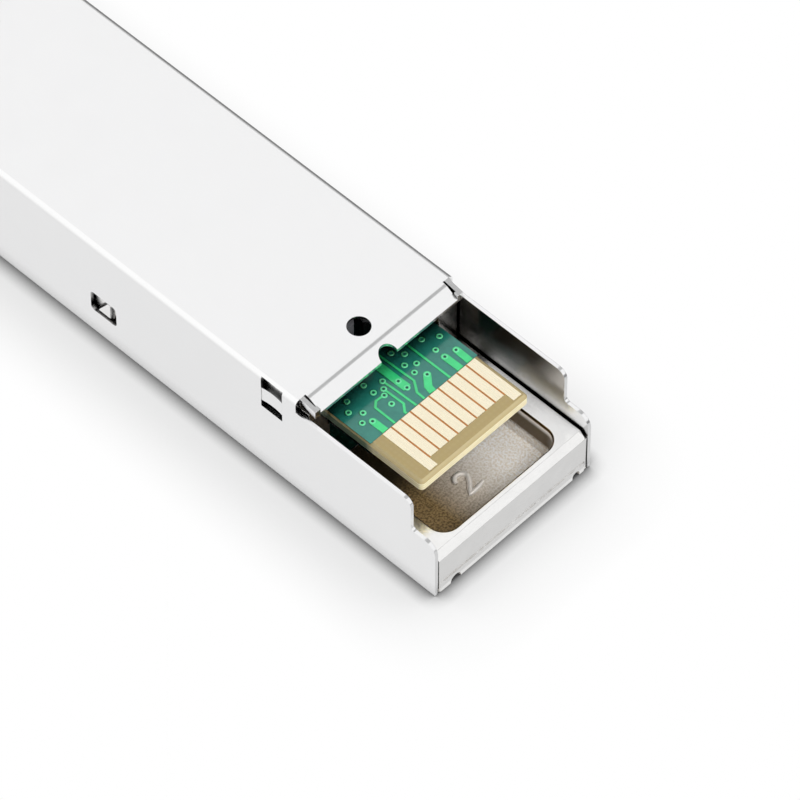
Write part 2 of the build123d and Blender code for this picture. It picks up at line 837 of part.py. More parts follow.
def turned_can(port_side):
    """Metal can with its header flange and four leads."""
    y_front = y_wall_rear - barrel_length
    y_rear = y_front - can_length
    y_back = y_rear - header_thickness
    with BuildSketch(port_axis_plane(port_side)) as half:
        with BuildLine():
            Polyline(
                (along(y_front), 0),
                (along(y_front), can_radius),
                (along(y_rear), can_radius),
                (along(y_rear), header_radius),
                (along(y_back), header_radius),
                (along(y_back), 0),
                close=True,
            )
        make_face()
        shoulder = half.vertices().sort_by_distance((along(y_front), can_radius))[0]
        chamfer(shoulder, length=can_edge_chamfer)
    revolve(half.sketch, axis=port_axis(port_side))
    with BuildSketch(cross_plane(y_back)) as lead_circles:
        with Locations((port_side * port_x, port_height)):
            with PolarLocations(lead_circle_radius, 4, start_angle=45):
                RegularPolygon(lead_radius, lead_sides)
    extrude(lead_circles.sketch, amount=lead_length)


def flex_ribbon(port_side):
    """Flex circuit that runs from a can's leads up and over to the board."""
    y_leads = y_wall_rear - barrel_length - can_length - header_thickness - lead_length
    y_plate = y_leads - flex_thickness / 2
    y_board_end = y_board + board_length
    z_crest = port_height + barrel_radius - flex_thickness / 2
    z_landing = board_top + board_seat_gap + flex_thickness / 2
    with BuildSketch(port_axis_plane(port_side)) as ribbon:
        with BuildLine():
            ribbon_line = FilletPolyline(
                (along(y_plate), -lead_circle_radius - 2 * lead_radius),
                (along(y_plate), z_crest - port_height),
                (along(y_board_end - flex_bend_radius), z_crest - port_height),
                (along(y_board_end - 2 * flex_bend_radius), z_landing - port_height),
                (along(y_board_end - 2 * flex_bend_radius - flex_landing), z_landing - port_height),
                radius=flex_bend_radius,
            )
        trace(ribbon_line, line_width=flex_thickness)
    extrude(ribbon.sketch, amount=flex_width / 2, both=True)


with BuildPart() as transmitter_barrel:
    turned_barrel(-1)
transmitter_barrel.part.label = "transmitter_barrel"
export_step(transmitter_barrel.part, "parts/transmitter_barrel.step")

with BuildPart() as receiver_barrel:
    turned_barrel(1)
receiver_barrel.part.label = "receiver_barrel"
export_step(receiver_barrel.part, "parts/receiver_barrel.step")

with BuildPart() as transmitter_can:
    turned_can(-1)
transmitter_can.part.label = "transmitter_can"
export_step(transmitter_can.part, "parts/transmitter_can.step")

with BuildPart() as receiver_can:
    turned_can(1)
receiver_can.part.label = "receiver_can"
export_step(receiver_can.part, "parts/receiver_can.step")

with BuildPart() as transmitter_flex:
    flex_ribbon(-1)
transmitter_flex.part.label = "transmitter_flex"
export_step(transmitter_flex.part, "parts/transmitter_flex.step")

with BuildPart() as receiver_flex:
    flex_ribbon(1)
receiver_flex.part.label = "receiver_flex"
export_step(receiver_flex.part, "parts/receiver_flex.step")

# Stamped plate that drops over both barrels' grooves
with BuildPart() as optics_retainer:
    retainer_half = bay_width / 2 + retainer_slot_depth - retainer_gap
    retainer_bottom = floor_thickness + retainer_gap
    with BuildSketch(cross_plane(y_groove + retainer_thickness / 2)):
        with Locations((0, (retainer_bottom + wall_top) / 2)):
            RectangleRounded(2 * retainer_half, wall_top - retainer_bottom, retainer_corner)
        with Locations(*port_centres):
            Circle(groove_radius + retainer_gap, mode=Mode.SUBTRACT)
            with Locations((0, -port_height / 2)):
                Rectangle(2 * (groove_radius + retainer_gap), port_height, mode=Mode.SUBTRACT)
    extrude(amount=retainer_thickness)
optics_retainer.part.label = "optics_retainer"
export_step(optics_retainer.part, "parts/optics_retainer.step")

# Latch lever: rear plate with the latch boss, hub on the pivot pin, front arm and head
with BuildPart() as latch_lever:
    y_head_rear = y_bail - lever_head_overlap
    y_head_front = y_head_rear + lever_head_length
    with BuildSketch(Plane.YZ) as lever_side:
        with BuildLine():
            Polyline(
                (along(y_lever_rear), lever_rear_bottom),
                (along(y_stop), lever_rear_bottom),
                (along(y_pivot + lever_hub_radius), lever_head_bottom),
                (along(y_head_front), lever_head_bottom),
                (along(y_head_front), lever_head_bottom + lever_front_thickness),
                (along(y_pivot), lever_head_bottom + lever_front_thickness),
                (along(y_stop + cover_seam), lever_rear_top),
                (along(y_lever_rear), lever_rear_top),
                close=True,
            )
        make_face()
        with Locations((along(y_pivot), pivot_height)):
            Circle(lever_hub_radius)
    extrude(amount=lever_width / 2, both=True)
    slab(
        lever_head_width, y_head_rear, y_head_front,
        lever_head_bottom, lever_head_bottom + lever_front_thickness,
    )
    with BuildSketch(Plane.XY.offset(lever_rear_top)) as boss_plan:
        with BuildLine():
            Polyline(*boss_corners, close=True)
        make_face()
    extrude(amount=body_height + boss_height - lever_rear_top)
    with BuildSketch(Plane.YZ) as ramp_waste:
        with BuildLine():
            Polyline(
                (along(y_boss_rear), body_height),
                (along(y_boss_front - boss_land), body_height + boss_height),
                (along(y_boss_front - boss_land), body_height + boss_height + clear),
                (along(y_boss_rear), body_height + boss_height + clear),
                close=True,
            )
        make_face()
    extrude(amount=lever_width / 2, both=True, mode=Mode.SUBTRACT)
    with BuildSketch(Plane.YZ):
        with Locations((along(y_pivot), pivot_height)):
            Circle(pin_radius + pin_running_fit)
    extrude(amount=lever_width / 2, both=True, mode=Mode.SUBTRACT)
latch_lever.part.label = "latch_lever"
export_step(latch_lever.part, "parts/latch_lever.step")

with BuildPart() as latch_pin:
    with BuildSketch(Plane.YZ):
        with Locations((along(y_pivot), pivot_height)):
            Circle(pin_radius)
    extrude(amount=flange_width / 2 - pin_end_gap, both=True)
latch_pin.part.label = "latch_pin"
export_step(latch_pin.part, "parts/latch_pin.step")

# Round-wire compression spring under the lever's boss
spring_height = lever_rear_bottom - spring_floor - spring_wire - 2 * spring_end_gap
with BuildPart() as latch_spring:
    with BuildLine(Plane.XY.offset(spring_floor + spring_wire / 2 + spring_end_gap)) as coil:
        Helix(pitch=spring_height / spring_turns, height=spring_height, radius=spring_radius)
    with BuildSketch(Plane(origin=coil.line @ 0, z_dir=coil.line % 0)):
        RegularPolygon(spring_wire / 2, spring_wire_sides)
    sweep(path=coil.line, is_frenet=True)
latch_spring_placed = Location((0, along(y_spring), 0)) * latch_spring.part
latch_spring_placed.label = "latch_spring"
export_step(latch_spring_placed, "parts/latch_spring.step")

# Wire bail: two cranked ends, two arms beside the nose and a crossbar in front of it
with BuildPart() as bail:
    half_route = [
        (crank_inner_x, along(crank_y), crank_z),
        (crank_outer_x, along(crank_y), crank_z),
        (crank_outer_x + crank_jog, along(y_bail), bail_height),
        (bail_arm_x, along(y_bail), bail_height),
        (bail_arm_x, along(y_crossbar), crossbar_height),
    ]
    mirrored_route = [(-x, y, z) for x, y, z in reversed(half_route)]
    half_radii = [crank_bend_radius, crank_bend_radius, bail_shoulder_radius, bail_corner_radius]
    with BuildLine() as bail_line:
        FilletPolyline(*(half_route + mirrored_route), radius=half_radii + half_radii[::-1])
    with BuildSketch(Plane(origin=bail_line.line @ 0, z_dir=bail_line.line % 0)):
        RegularPolygon(bail_wire_radius, bail_wire_sides)
    sweep(path=bail_line.line)
bail.part.label = "bail"
export_step(bail.part, "parts/bail.step")

with BuildPart() as bail_grip:
    with BuildSketch(Plane.YZ):
        with Locations((along(y_crossbar), crossbar_height)):
            RectangleRounded(grip_depth, grip_height, grip_corner)
            Circle(bail_wire_radius + grip_fit, mode=Mode.SUBTRACT)
    extrude(amount=grip_width / 2, both=True)
bail_grip.part.label = "bail_grip"
export_step(bail_grip.part, "parts/bail_grip.step")

# Two stamped plates that close the open slots over the bail's ends
with BuildPart() as bail_keepers:
    keeper_width = (nose_front_width - channel_head_width) / 2 - 2 * keeper_gap
    keeper_length = body_length - y_bail + keeper_margin - 2 * keeper_gap
    with BuildSketch(Plane.XY.offset(keeper_floor)):
        with Locations((0, along(y_bail - keeper_margin + keeper_gap + keeper_length / 2))):
            with GridLocations((nose_front_width + channel_head_width) / 2, 1, 2, 1):
                RectangleRounded(keeper_width, keeper_length, keeper_corner)
    extrude(amount=keeper_thickness)
bail_keepers.part.label = "bail_keepers"
export_step(bail_keepers.part, "parts/bail_keepers.step")
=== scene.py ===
import json
import math

import bmesh
import bpy
from mathutils import Matrix, Vector


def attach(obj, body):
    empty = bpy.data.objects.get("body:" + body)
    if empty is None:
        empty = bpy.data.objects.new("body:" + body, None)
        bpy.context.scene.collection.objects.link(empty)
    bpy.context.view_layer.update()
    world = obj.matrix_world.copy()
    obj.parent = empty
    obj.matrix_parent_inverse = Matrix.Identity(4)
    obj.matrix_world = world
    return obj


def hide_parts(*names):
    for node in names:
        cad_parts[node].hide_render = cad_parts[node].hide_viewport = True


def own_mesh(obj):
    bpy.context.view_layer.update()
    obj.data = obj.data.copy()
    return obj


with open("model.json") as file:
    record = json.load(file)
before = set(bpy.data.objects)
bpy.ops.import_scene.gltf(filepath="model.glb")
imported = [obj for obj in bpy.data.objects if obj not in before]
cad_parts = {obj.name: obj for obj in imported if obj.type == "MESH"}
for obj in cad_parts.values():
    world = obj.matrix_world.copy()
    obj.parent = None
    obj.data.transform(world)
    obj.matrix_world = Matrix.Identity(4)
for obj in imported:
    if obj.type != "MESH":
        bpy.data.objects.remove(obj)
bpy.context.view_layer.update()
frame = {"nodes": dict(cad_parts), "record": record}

record = frame["record"]
nodes = frame["nodes"]
scene = bpy.context.scene
middle = 29.075  # distance in mm from the connector end to the middle of the module
print("frame loaded,", len(nodes), "nodes")


def place(x, along, up):
    # a point from its millimetres across, along from the connector end, and up
    return Vector((x, along - middle, up)) / 1000


# camera
cameraAt = {
    "azimuth": -46.018, "elevation": 52.870, "distance": 417.33,
    "slideRight": -6.722, "slideUp": 7.795, "lens": 315.2, "sensor": 36,
}
turn = math.radians(cameraAt["azimuth"])
tilt = math.radians(cameraAt["elevation"])
backward = Vector((math.sin(turn) * math.cos(tilt), -math.cos(turn) * math.cos(tilt), math.sin(tilt)))
rightward = Vector((math.cos(turn), math.sin(turn), 0))
upward = backward.cross(rightward)
lensHolder = bpy.data.cameras.new("photoCamera")
lensHolder.lens = cameraAt["lens"]
lensHolder.sensor_width = cameraAt["sensor"]
lensHolder.clip_start = 0.01
lensHolder.clip_end = 20
cameraObject = bpy.data.objects.new("photoCamera", lensHolder)
scene.collection.objects.link(cameraObject)
seat = (
    backward * cameraAt["distance"] + rightward * cameraAt["slideRight"] + upward * cameraAt["slideUp"]
    - Vector((0, middle, 0))
) / 1000
cameraObject.matrix_world = Matrix((
    (rightward.x, upward.x, backward.x, seat.x),
    (rightward.y, upward.y, backward.y, seat.y),
    (rightward.z, upward.z, backward.z, seat.z),
    (0, 0, 0, 1),
))
scene.camera = cameraObject
scene.view_settings.view_transform = "Standard"
print("camera set")


# helpers for materials
def startMaterial(name):
    made = bpy.data.materials.new(name)
    made.use_nodes = True
    tree = made.node_tree
    return made, tree, tree.nodes["Principled BSDF"]


def addNode(tree, kind, **settings):
    made = tree.nodes.new(kind)
    for key, value in settings.items():
        setattr(made, key, value)
    return made


def spots(tree, size, detail=4.0, rough=0.5, stretch=(1, 1, 1), warp=0.0):
    # noise whose features are about this many millimetres across
    coords = addNode(tree, "ShaderNodeTexCoord")
    spread = addNode(tree, "ShaderNodeMapping")
    spread.inputs["Scale"].default_value = stretch
    tree.links.new(coords.outputs["Object"], spread.inputs["Vector"])
    noise = addNode(tree, "ShaderNodeTexNoise")
    noise.inputs["Scale"].default_value = 1000 / size
    noise.inputs["Detail"].default_value = detail
    noise.inputs["Roughness"].default_value = rough
    noise.inputs["Distortion"].default_value = warp
    tree.links.new(spread.outputs["Vector"], noise.inputs["Vector"])
    return noise.outputs["Fac"]


def between(tree, value, low, high, fromLow=0.3, fromHigh=0.7):
    # a value taken from one range to another
    span = addNode(tree, "ShaderNodeMapRange")
    span.inputs["From Min"].default_value = fromLow
    span.inputs["From Max"].default_value = fromHigh
    span.inputs["To Min"].default_value = low
    span.inputs["To Max"].default_value = high
    tree.links.new(value, span.inputs["Value"])
    return span.outputs["Result"]


def rising(tree, value, span):
    # 0 below a span in millimetres, 1 above it
    return between(tree, value, 0, 1, span[0] / 1000, span[1] / 1000)


def falling(tree, value, span):
    # 1 below a span in millimetres, 0 above it
    return between(tree, value, 1, 0, span[0] / 1000, span[1] / 1000)


def distanceAlong(*distances):
    # distances from the connector end, as the frame's own Y in millimetres
    return [distance - middle for distance in distances]


def calculated(tree, operation, first, second):
    step = addNode(tree, "ShaderNodeMath", operation=operation)
    tree.links.new(first, step.inputs[0])
    tree.links.new(second, step.inputs[1])
    return step.outputs["Value"]


def multiplied(tree, first, *others):
    for other in others:
        first = calculated(tree, "MULTIPLY", first, other)
    return first


def whereabouts(tree):
    # X, Y and Z of the point in the frame
    coords = addNode(tree, "ShaderNodeTexCoord")
    parts = addNode(tree, "ShaderNodeSeparateXYZ")
    tree.links.new(coords.outputs["Object"], parts.inputs["Vector"])
    return parts.outputs["X"], parts.outputs["Y"], parts.outputs["Z"]


def chosenValue(tree, factor, first, second):
    mixer = addNode(tree, "ShaderNodeMix", data_type="FLOAT")
    tree.links.new(factor, mixer.inputs["Factor"])
    tree.links.new(first, mixer.inputs["A"])
    tree.links.new(second, mixer.inputs["B"])
    return mixer.outputs["Result"]


def scaledColour(colour, share):
    return tuple(min(1.0, part * share) for part in colour)


def blendColours(tree, factor, first, second):
    mixer = addNode(tree, "ShaderNodeMix", data_type="RGBA")
    tree.links.new(factor, mixer.inputs["Factor"])
    for socket, colour in (("A", first), ("B", second)):
        target = [s for s in mixer.inputs if s.name == socket and s.type == "RGBA"][0]
        if isinstance(colour, tuple):
            target.default_value = (*colour, 1)
        else:
            tree.links.new(colour, target)
    return [s for s in mixer.outputs if s.type == "RGBA"][0]


def bumpFrom(tree, height, depth, strength=1.0, normal=None):
    # depth in millimetres
    bump = addNode(tree, "ShaderNodeBump")
    bump.inputs["Strength"].default_value = strength
    bump.inputs["Distance"].default_value = depth / 1000
    tree.links.new(height, bump.inputs["Height"])
    if normal is not None:
        tree.links.new(normal, bump.inputs["Normal"])
    return bump.outputs["Normal"]


def softEdge(tree, radius):
    # radius in millimetres
    edge = addNode(tree, "ShaderNodeBevel", samples=6)
    edge.inputs["Radius"].default_value = radius / 1000
    return edge.outputs["Normal"]


def edgeMask(tree, radius):
    # 0 on flats, up to 1 on edges
    edge = addNode(tree, "ShaderNodeBevel", samples=4)
    edge.inputs["Radius"].default_value = radius / 1000
    shape = addNode(tree, "ShaderNodeNewGeometry")
    dot = addNode(tree, "ShaderNodeVectorMath", operation="DOT_PRODUCT")
    tree.links.new(edge.outputs["Normal"], dot.inputs[0])
    tree.links.new(shape.outputs["Normal"], dot.inputs[1])
    return between(tree, dot.outputs["Value"], 1.0, 0.0, 0.82, 0.995)


def openness(tree, reach, low, high):
    # 0 in recesses this many millimetres deep, 1 in the open
    shade = addNode(tree, "ShaderNodeAmbientOcclusion", samples=8)
    shade.inputs["Distance"].default_value = reach / 1000
    return between(tree, shade.outputs["AO"], 0, 1, low, high)


# finish of the die casting, with painted shade in its recesses, under the board and on the tub's right wall,
# and a painted reflection and highlight on the tub's floor; the places of the tub are in millimetres
castTones = {
    "deep": (0.05, 0.035, 0.015), "deepLight": (0.16, 0.11, 0.06), "reach": 3.0, "openSpan": (0.12, 0.5),
    "wear": (0.20, 0.15, 0.09), "wearWidth": 0.045, "smooth": 0.02, "softness": 0.05,
    "cloud": 1.6, "wave": 1.1, "waveDepth": 0.006,
}
tub = {
    "from": 0.95, "to": 10.7, "floorTop": (1.4, 1.8), "shadeUnderBoard": (5.2, 7.5), "paintedLightSpan": (-2.2, 2.8),
    "left": (0.30, 0.20, 0.085), "right": (0.98, 0.96, 0.94),
    "grainLeft": (0.10, 0.065, 0.025), "grainRight": (0.80, 0.72, 0.61), "grainSpan": (0.4, 0.58),
    "wall": (0.085, 0.06, 0.03), "wallNear": (4.4, 4.8), "wallFar": (5.3, 5.4), "wallTop": (2.8, 3.2),
    "rim": (0.20, 0.12, 0.055), "rimLow": (3.2, 3.3), "rimHigh": (3.43, 3.45), "rimFront": (0.75, 0.8),
    "metallic": 0.12, "rougher": 0.2,
}


def castMetal(name, colour, grain, grainDepth, roughLow, roughHigh):
    made, tree, shader = startMaterial(name)
    fine = spots(tree, grain, 3.0, 0.55)
    broad = spots(tree, castTones["cloud"], 2.0, 0.5)
    tone = blendColours(tree, between(tree, broad, 0, 1), scaledColour(colour, 0.95), colour)
    # painted shade: near-black brown in the casting's recesses, blended in by ambient occlusion
    shadeTone = blendColours(tree, fine, castTones["deep"], castTones["deepLight"])
    recessShaded = blendColours(tree, openness(tree, castTones["reach"], *castTones["openSpan"]), shadeTone, tone)
    # thin dark wear line, broken here and there, along the sharp edges
    broken = between(tree, spots(tree, 0.5, 2.0), 0, 0.8, 0.4, 0.6)
    worn = multiplied(tree, edgeMask(tree, castTones["wearWidth"]), broken)
    lined = blendColours(tree, worn, recessShaded, castTones["wear"])
    # where the tub is, and its floor
    across, along, up = whereabouts(tree)
    behindEnd = rising(tree, along, distanceAlong(tub["from"] - 0.1, tub["from"]))
    opened = falling(tree, along, distanceAlong(tub["to"], tub["to"] + 0.1))
    onFloor = multiplied(tree, falling(tree, up, tub["floorTop"]), opened, behindEnd)
    # brown line round the tub, on its rounded rim
    rimFront = rising(tree, along, distanceAlong(*tub["rimFront"]))
    rimHeight = multiplied(tree, rising(tree, up, tub["rimLow"]), falling(tree, up, tub["rimHigh"]))
    rimLine = multiplied(tree, rimHeight, rimFront, opened)
    lined = blendColours(tree, rimLine, lined, tub["rim"])
    # painted shade: the tub's right wall is dark brown
    wallSide = multiplied(tree, rising(tree, across, tub["wallNear"]), falling(tree, across, tub["wallFar"]))
    onWall = multiplied(tree, wallSide, behindEnd, opened, falling(tree, up, tub["wallTop"]))
    lined = blendColours(tree, onWall, lined, tub["wall"])
    # painted reflection and highlight: the floor is brown on the left, as the board's underside mirrored in
    # it, and pale on the right; painted shade: dark under the board
    sideways = rising(tree, across, tub["paintedLightSpan"])
    floorPaintedLight = blendColours(tree, sideways, tub["left"], tub["right"])
    grainPaintedLight = blendColours(tree, sideways, tub["grainLeft"], tub["grainRight"])
    grained = blendColours(tree, between(tree, fine, 0, 1, *tub["grainSpan"]), grainPaintedLight, floorPaintedLight)
    beneath = rising(tree, along, distanceAlong(*tub["shadeUnderBoard"]))
    floorTone = blendColours(tree, beneath, grained, castTones["deep"])
    tree.links.new(blendColours(tree, onFloor, lined, floorTone), shader.inputs["Base Color"])
    tree.links.new(between(tree, onFloor, 1.0, tub["metallic"], 0, 1), shader.inputs["Metallic"])
    polish = between(tree, fine, roughLow, roughHigh)
    rougher = between(tree, onFloor, 0.0, tub["rougher"], 0, 1)
    tree.links.new(calculated(tree, "ADD", polish, rougher), shader.inputs["Roughness"])
    # the grain is coarse on the tub's floor and fine elsewhere
    height = multiplied(tree, fine, between(tree, onFloor, castTones["smooth"], 1.0, 0, 1))
    normal = bumpFrom(tree, height, grainDepth, 1.0, softEdge(tree, castTones["softness"]))
    wave = spots(tree, castTones["wave"], 1.0)
    tree.links.new(bumpFrom(tree, wave, castTones["waveDepth"], 0.5, normal), shader.inputs["Normal"])
    return made


# painted shade on the sheet in recesses, sooner on the skirts' inner faces, and a painted highlight on its
# two folds;
# the places are in millimetres
sheetShade = {
    "reach": 2.6, "open": (0.28, 0.62), "inner": (0.45, 0.74), "innerHalf": (6.5, 6.6), "dark": 0.03,
    "foldSide": (6.38, 6.44), "foldTop": (8.17, 8.23), "foldHighlight": (0.985, 0.985, 0.985),
}


def sheetMetal(name, colour, roughLow, roughHigh, edge, folded=False):
    made, tree, shader = startMaterial(name)
    shader.inputs["Metallic"].default_value = 1.0
    rolled = spots(tree, 0.12, 3.0, 0.6, stretch=(1.0, 0.06, 1.0))
    cloud = spots(tree, 2.4, 3.0, 0.5)
    tone = blendColours(tree, between(tree, cloud, 0, 1), scaledColour(colour, 0.98), colour)
    # painted highlight: the sheet's edges a little paler
    highlighted = blendColours(tree, edgeMask(tree, edge), tone, scaledColour(colour, 1.05))
    openAir = openness(tree, sheetShade["reach"], *sheetShade["open"])
    if folded:
        across, along, up = whereabouts(tree)
        offMiddle = addNode(tree, "ShaderNodeMath", operation="ABSOLUTE")
        tree.links.new(across, offMiddle.inputs[0])
        sideways = offMiddle.outputs["Value"]
        inner = falling(tree, sideways, sheetShade["innerHalf"])
        # painted highlight along the two folds
        foldTop = rising(tree, up, sheetShade["foldTop"])
        onFold = multiplied(tree, rising(tree, sideways, sheetShade["foldSide"]), foldTop)
        highlighted = blendColours(tree, onFold, highlighted, sheetShade["foldHighlight"])
        innerAir = openness(tree, sheetShade["reach"], *sheetShade["inner"])
        openAir = chosenValue(tree, inner, openAir, innerAir)
    # painted shade: near black in recesses
    shadedSheet = blendColours(tree, openAir, scaledColour(colour, sheetShade["dark"]), highlighted)
    tree.links.new(shadedSheet, shader.inputs["Base Color"])
    polish = between(tree, rolled, roughLow, roughHigh)
    patches = between(tree, cloud, -0.04, 0.04)
    tree.links.new(calculated(tree, "ADD", polish, patches), shader.inputs["Roughness"])
    normal = bumpFrom(tree, rolled, 0.0012, 1.0, softEdge(tree, edge))
    tree.links.new(bumpFrom(tree, spots(tree, 1.3, 1.0), 0.002, 0.4, normal), shader.inputs["Normal"])
    return made


def moulded(name, colour, roughness, grain=0.08, depth=0.004, edge=0.04):
    made, tree, shader = startMaterial(name)
    fine = spots(tree, grain, 2.0)
    cloud = between(tree, spots(tree, 0.9, 3.0), 0, 1)
    tone = blendColours(tree, cloud, scaledColour(colour, 0.85), colour)
    tree.links.new(tone, shader.inputs["Base Color"])
    tree.links.new(between(tree, fine, roughness - 0.06, roughness + 0.06), shader.inputs["Roughness"])
    tree.links.new(bumpFrom(tree, fine, depth, 1.0, softEdge(tree, edge)), shader.inputs["Normal"])
    return made


def varnish(name, colour, dark, roughness):
    # solder mask: a clear green film over the board or over its copper
    made, tree, shader = startMaterial(name)
    cloud = spots(tree, 0.5, 3.0)
    tone = blendColours(tree, between(tree, cloud, 0, 1), dark, colour)
    # painted shade: the film goes near black in recesses, as under the cover's lip
    shaded = blendColours(tree, openness(tree, 4.0, 0.42, 0.76), scaledColour(dark, 0.03), tone)
    tree.links.new(shaded, shader.inputs["Base Color"])
    shader.inputs["Coat Weight"].default_value = 0.5
    shader.inputs["Coat Roughness"].default_value = 0.08
    tree.links.new(between(tree, cloud, roughness - 0.04, roughness + 0.04), shader.inputs["Roughness"])
    weave = spots(tree, 0.22, 1.0)
    tree.links.new(bumpFrom(tree, weave, 0.003, 0.6), shader.inputs["Normal"])
    return made


def laminate(name):
    made, tree, shader = startMaterial(name)
    coords = addNode(tree, "ShaderNodeTexCoord")
    weaves = []
    for direction in ("X", "Y"):
        threads = addNode(tree, "ShaderNodeTexWave", wave_type="BANDS", bands_direction=direction)
        threads.inputs["Scale"].default_value = 900
        threads.inputs["Distortion"].default_value = 0.8
        tree.links.new(coords.outputs["Object"], threads.inputs["Vector"])
        weaves.append(threads.outputs["Fac"])
    crossing = multiplied(tree, *weaves)
    layers = addNode(tree, "ShaderNodeTexWave", wave_type="BANDS", bands_direction="Z")
    layers.inputs["Scale"].default_value = 1500
    layers.inputs["Distortion"].default_value = 0.4
    tree.links.new(coords.outputs["Object"], layers.inputs["Vector"])
    face = blendColours(tree, crossing, (0.312, 0.24, 0.103), (0.327, 0.254, 0.117))
    # the cut edges are paler than the faces: the board's own edge colour, lifted further with painted light
    side = blendColours(tree, layers.outputs["Fac"], (0.70, 0.61, 0.37), (0.83, 0.75, 0.51))
    sideGreen = blendColours(tree, layers.outputs["Fac"], (0.10, 0.15, 0.09), (0.17, 0.23, 0.15))
    across, along, up = whereabouts(tree)
    masked = rising(tree, along, distanceAlong(7.1, 7.7))  # the board's edge is green where the mask begins
    side = blendColours(tree, masked, side, sideGreen)
    shape = addNode(tree, "ShaderNodeNewGeometry")
    parts = addNode(tree, "ShaderNodeSeparateXYZ")
    tree.links.new(shape.outputs["Normal"], parts.inputs["Vector"])
    flat = between(tree, parts.outputs["Z"], 0, 1, 0.05, 0.85)
    tree.links.new(blendColours(tree, flat, side, face), shader.inputs["Base Color"])
    shader.inputs["Roughness"].default_value = 0.42
    shader.inputs["Subsurface Weight"].default_value = 0.15
    shader.inputs["Subsurface Radius"].default_value = (0.0004, 0.0003, 0.0001)
    normal = bumpFrom(tree, crossing, 0.002, 0.3, softEdge(tree, 0.06))
    tree.links.new(normal, shader.inputs["Normal"])
    return made


def goldPlate(name, colour, roughness):
    made, tree, shader = startMaterial(name)
    shader.inputs["Metallic"].default_value = 1.0
    swipe = spots(tree, 0.1, 2.0, 0.5, stretch=(1.0, 0.08, 1.0))
    tone = blendColours(tree, between(tree, swipe, 0, 1), scaledColour(colour, 0.97), colour)
    tree.links.new(tone, shader.inputs["Base Color"])
    tree.links.new(between(tree, swipe, roughness - 0.05, roughness + 0.08), shader.inputs["Roughness"])
    tree.links.new(bumpFrom(tree, swipe, 0.001, 1.0, softEdge(tree, 0.015)), shader.inputs["Normal"])
    return made


def plain(name, colour, roughness, metallic=0.0):
    made, tree, shader = startMaterial(name)
    cloud = between(tree, spots(tree, 0.2, 2.0), 0, 1)
    tone = blendColours(tree, cloud, scaledColour(colour, 0.85), colour)
    tree.links.new(tone, shader.inputs["Base Color"])
    shader.inputs["Roughness"].default_value = roughness
    shader.inputs["Metallic"].default_value = metallic
    return made


looks = {
    "nickel_plated_casting": castMetal("castNickel", (0.92, 0.915, 0.905), 0.14, 0.08, 0.13, 0.24),
    "plated_sheet": sheetMetal("platedSheet", (0.905, 0.905, 0.908), 0.15, 0.21, 0.03, folded=True),
    "board_laminate": laminate("glassLaminate"),
    "gold_contact": goldPlate("contactGold", (1.0, 0.915, 0.70), 0.26),
    "chip_black": moulded("chipEpoxy", (0.045, 0.045, 0.05), 0.55),
    "ferrite_grey": moulded("ferriteGrey", (0.14, 0.14, 0.15), 0.5, 0.1, 0.006),
    "capacitor_tan": moulded("ceramicTan", (0.42, 0.30, 0.19), 0.4),
    "resistor_black": moulded("resistorGlaze", (0.03, 0.03, 0.035), 0.25),
    "gap_pad": moulded("gapSilicone", (0.40, 0.50, 0.62), 0.7, 0.15, 0.01),
    "turned_steel": sheetMetal("turnedSteel", (0.74, 0.73, 0.71), 0.2, 0.34, 0.03),
    "gilt_can": goldPlate("giltCan", (0.93, 0.74, 0.42), 0.22),
    "flex_amber": moulded("flexAmber", (0.50, 0.22, 0.04), 0.3),
    "spring_wire": sheetMetal("drawnWire", (0.80, 0.80, 0.79), 0.16, 0.28, 0.02),
    "grip_plastic": moulded("gripPlastic", (0.50, 0.46, 0.38), 0.5, 0.12, 0.008, 0.08),
}
for entry in record["subparts"]:
    target = nodes[entry["node"]]
    target.data.materials.clear()
    target.data.materials.append(looks[entry["material_slot"]])
print("materials on", len(record["subparts"]), "nodes")


# helpers for pieces
def linkMesh(name, mesh, look, body):
    thing = bpy.data.objects.new(name, mesh)
    scene.collection.objects.link(thing)
    mesh.materials.append(look)
    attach(thing, body)
    return thing


def runOutline(points, width, steps=7):
    # closed outline of a run of copper, round at its first point and square at its last
    def offsets(side):
        out = []
        count = len(points)
        order = range(count) if side > 0 else range(count - 1, -1, -1)
        path = [Vector(points[i]) for i in order]
        for i, here in enumerate(path):
            before = (here - path[i - 1]).normalized() if i > 0 else None
            after = (path[i + 1] - here).normalized() if i < count - 1 else None
            if before is None or after is None:
                way = after or before
                out.append(here + Vector((-way.y, way.x)) * width / 2)
            else:
                lean = (before + after).normalized()
                across = Vector((-lean.y, lean.x))
                out.append(here + across * (width / 2) / max(0.5, across.dot(Vector((-before.y, before.x)))))
        if side > 0:
            return out
        end = path[-1]
        way = (end - path[-2]).normalized()
        start = math.atan2(way.x, -way.y)
        for k in range(1, steps):
            angle = start - math.pi * k / steps
            out.append(end + Vector((math.cos(angle), math.sin(angle))) * width / 2)
        return out
    return offsets(1) + offsets(-1)


def plateMesh(name, outlines, low, high, edge):
    # flat plates with a small bevel round the top, all in one mesh
    shape = bmesh.new()
    for outline in outlines:
        ring = [shape.verts.new(place(p[0], p[1], low)) for p in outline]
        face = shape.faces.new(ring)
        face.normal_update()
        if face.normal.z < 0:
            face.normal_flip()
        raised = bmesh.ops.extrude_face_region(shape, geom=[face])
        top = [g for g in raised["geom"] if isinstance(g, bmesh.types.BMVert)]
        bmesh.ops.translate(shape, verts=top, vec=(0, 0, (high - low) / 1000))
        rim = [g for g in raised["geom"] if isinstance(g, bmesh.types.BMEdge)]
        if edge:
            bmesh.ops.bevel(shape, geom=rim, offset=edge / 1000, segments=2, affect="EDGES")
    bmesh.ops.recalc_face_normals(shape, faces=shape.faces)
    mesh = bpy.data.meshes.new(name)
    shape.to_mesh(mesh)
    shape.free()
    return mesh


